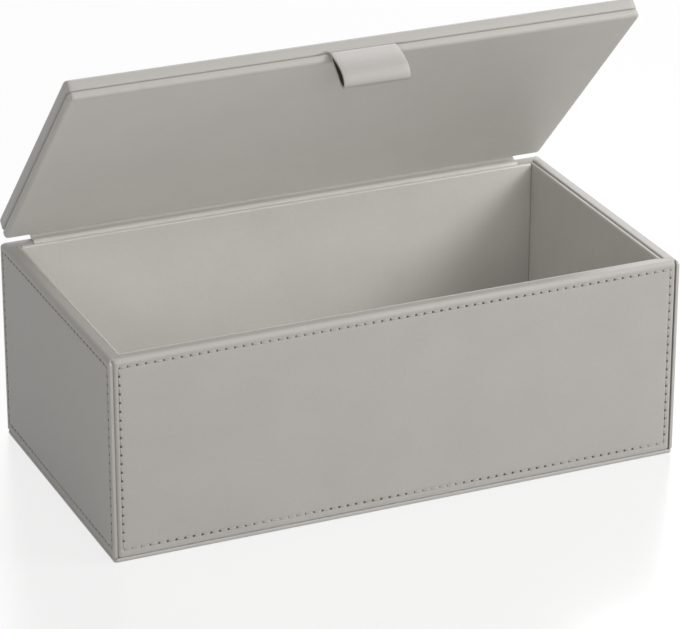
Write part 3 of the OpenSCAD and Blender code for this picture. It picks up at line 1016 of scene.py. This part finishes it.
# %% Boards
BOARDS = ("base_plate", "floor_board", "front_board", "back_board", "left_board", "right_board",
          "lid_board", "lid_inner_board")
for node in BOARDS:
    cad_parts[node].data.materials.clear()
    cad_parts[node].data.materials.append(board)
print("boards finished:", len(BOARDS))

# %% [markdown]
# The box stands on a white lacquered table. The table is white to the camera and to mirrored
# rays, and plain pale to the light, so that it doesn't throw more light on the leather than a
# pale table would. It keeps a faint shadow and mirrors the box faintly.

# %% Table
GLOW, MIRROR, BLUR = 0.9, 0.12, 0.22  # share of plain white, share of mirror, its roughness
TABLE_HALF = 6


def seen_directly(tree):
    path = add(tree, "ShaderNodeLightPath")
    seen = add(tree, "ShaderNodeMath", {0: path.outputs["Is Camera Ray"],
                                        1: path.outputs["Is Glossy Ray"]}, operation="MAXIMUM")
    return seen.outputs[0]


def table_material():
    material, tree = empty_material("white lacquered table")
    white = add(tree, "ShaderNodeEmission", {"Color": (1, 1, 1, 1), "Strength": 1.0})
    pale = add(tree, "ShaderNodeBsdfDiffuse", {"Color": (0.68, 0.68, 0.67, 1)})
    plain = add(tree, "ShaderNodeMixShader", {0: GLOW, 1: pale.outputs[0], 2: white.outputs[0]})
    mirror = add(tree, "ShaderNodeBsdfGlossy", {"Color": (1, 1, 1, 1), "Roughness": BLUR})
    lacquer = add(tree, "ShaderNodeMixShader", {0: MIRROR, 1: plain.outputs[0],
                                                2: mirror.outputs[0]})
    both = add(tree, "ShaderNodeMixShader", {0: seen_directly(tree), 1: pale.outputs[0],
                                             2: lacquer.outputs[0]})
    add(tree, "ShaderNodeOutputMaterial", {"Surface": both.outputs[0]})
    return material


table_mesh = bpy.data.meshes.new("table")
table_mesh.from_pydata([(x * TABLE_HALF, y * TABLE_HALF, 0)
                        for x, y in ((-1, -1), (1, -1), (1, 1), (-1, 1))], [], [(0, 1, 2, 3)])
table_mesh.materials.append(table_material())
table = bpy.data.objects.new("table", table_mesh)
bpy.context.scene.collection.objects.link(table)
print("table:", table.data.materials[0].name)

# %% [markdown]
# The world does the same as the table: to camera and mirrored rays it is white, and as a light
# it is weak, only enough to fill the shade.

# %% World
WORLD = 0.22
world = bpy.data.worlds.new("studio")
bpy.context.scene.world = world
world.use_nodes = True
sky_tree = world.node_tree
sky_tree.nodes.clear()
strength = add(sky_tree, "ShaderNodeMapRange", {"Value": seen_directly(sky_tree),
                                                "To Min": WORLD, "To Max": 1.0})
sky = add(sky_tree, "ShaderNodeBackground", {"Color": (1, 1, 1, 1),
                                             "Strength": strength.outputs["Result"]})
add(sky_tree, "ShaderNodeOutputWorld", {"Surface": sky.outputs["Background"]})
print("world strength", WORLD)

# %% [markdown]
# Soft boxes are area lamps on a circle round the box. The strongest stands to the right and
# above, so it grazes the front and brings out the rolls and the stitches. One straight in front
# and a weak one on the left fill the shade, and one behind, on the right, keeps the back from
# going dark. A photographer lights the inside of a box by itself, and light linking does the
# same here. Two fill lamps reach only the linings. A third, a small one close under the hinge,
# stands for the light that the bright inside throws back, and reaches only the inner face of
# the lid. The blockers say which pieces may stand in their way.

# %% Lamps
AIM = Vector((0, 0, 0.08))


def linked(name, pieces):
    group = bpy.data.collections.new(name)
    for piece in pieces:
        group.objects.link(piece)
    return group


def soft_box(name, azimuth, elevation, power, size=(0.8, 0.8), away=1.9, only=(), shaded_by=()):
    data = bpy.data.lights.new(name, "AREA")
    data.shape = "RECTANGLE"
    data.size, data.size_y = size
    data.energy = power
    lamp = bpy.data.objects.new(name, data)
    a, e = math.radians(azimuth), math.radians(elevation)
    towards = Vector((math.sin(a) * math.cos(e), -math.cos(a) * math.cos(e), math.sin(e)))
    lamp.location = towards * away + AIM
    lamp.rotation_euler = towards.to_track_quat("Z", "Y").to_euler()
    bpy.context.scene.collection.objects.link(lamp)
    if only:
        linking = lamp.light_linking
        linking.receiver_collection = linked("lit by the " + name, only)
        linking.blocker_collection = linked("in the way of the " + name, shaded_by)


soft_box("right soft box", 60, 35, 27.4)
soft_box("left soft box", -60, 35, 6.0)
soft_box("low front soft box", 0, 24, 9.0)
soft_box("back soft box", 150, 40, 13)
soft_box("right fill of the inside", 36, 22, 20.3, (1.6, 1.2), only=linings,
         shaded_by=right_wall)
soft_box("left fill of the inside", -60, 25, 7.6, only=linings, shaded_by=right_wall)
soft_box("fill of the lid", 180, -80.6, 0.32, (0.3, 0.08), 0.183, only=[lid_inner],
         shaded_by=[tab])

# %% [markdown]
# Colours are shown as they are written.

# %% Colour management
bpy.context.scene.view_settings.view_transform = "Standard"
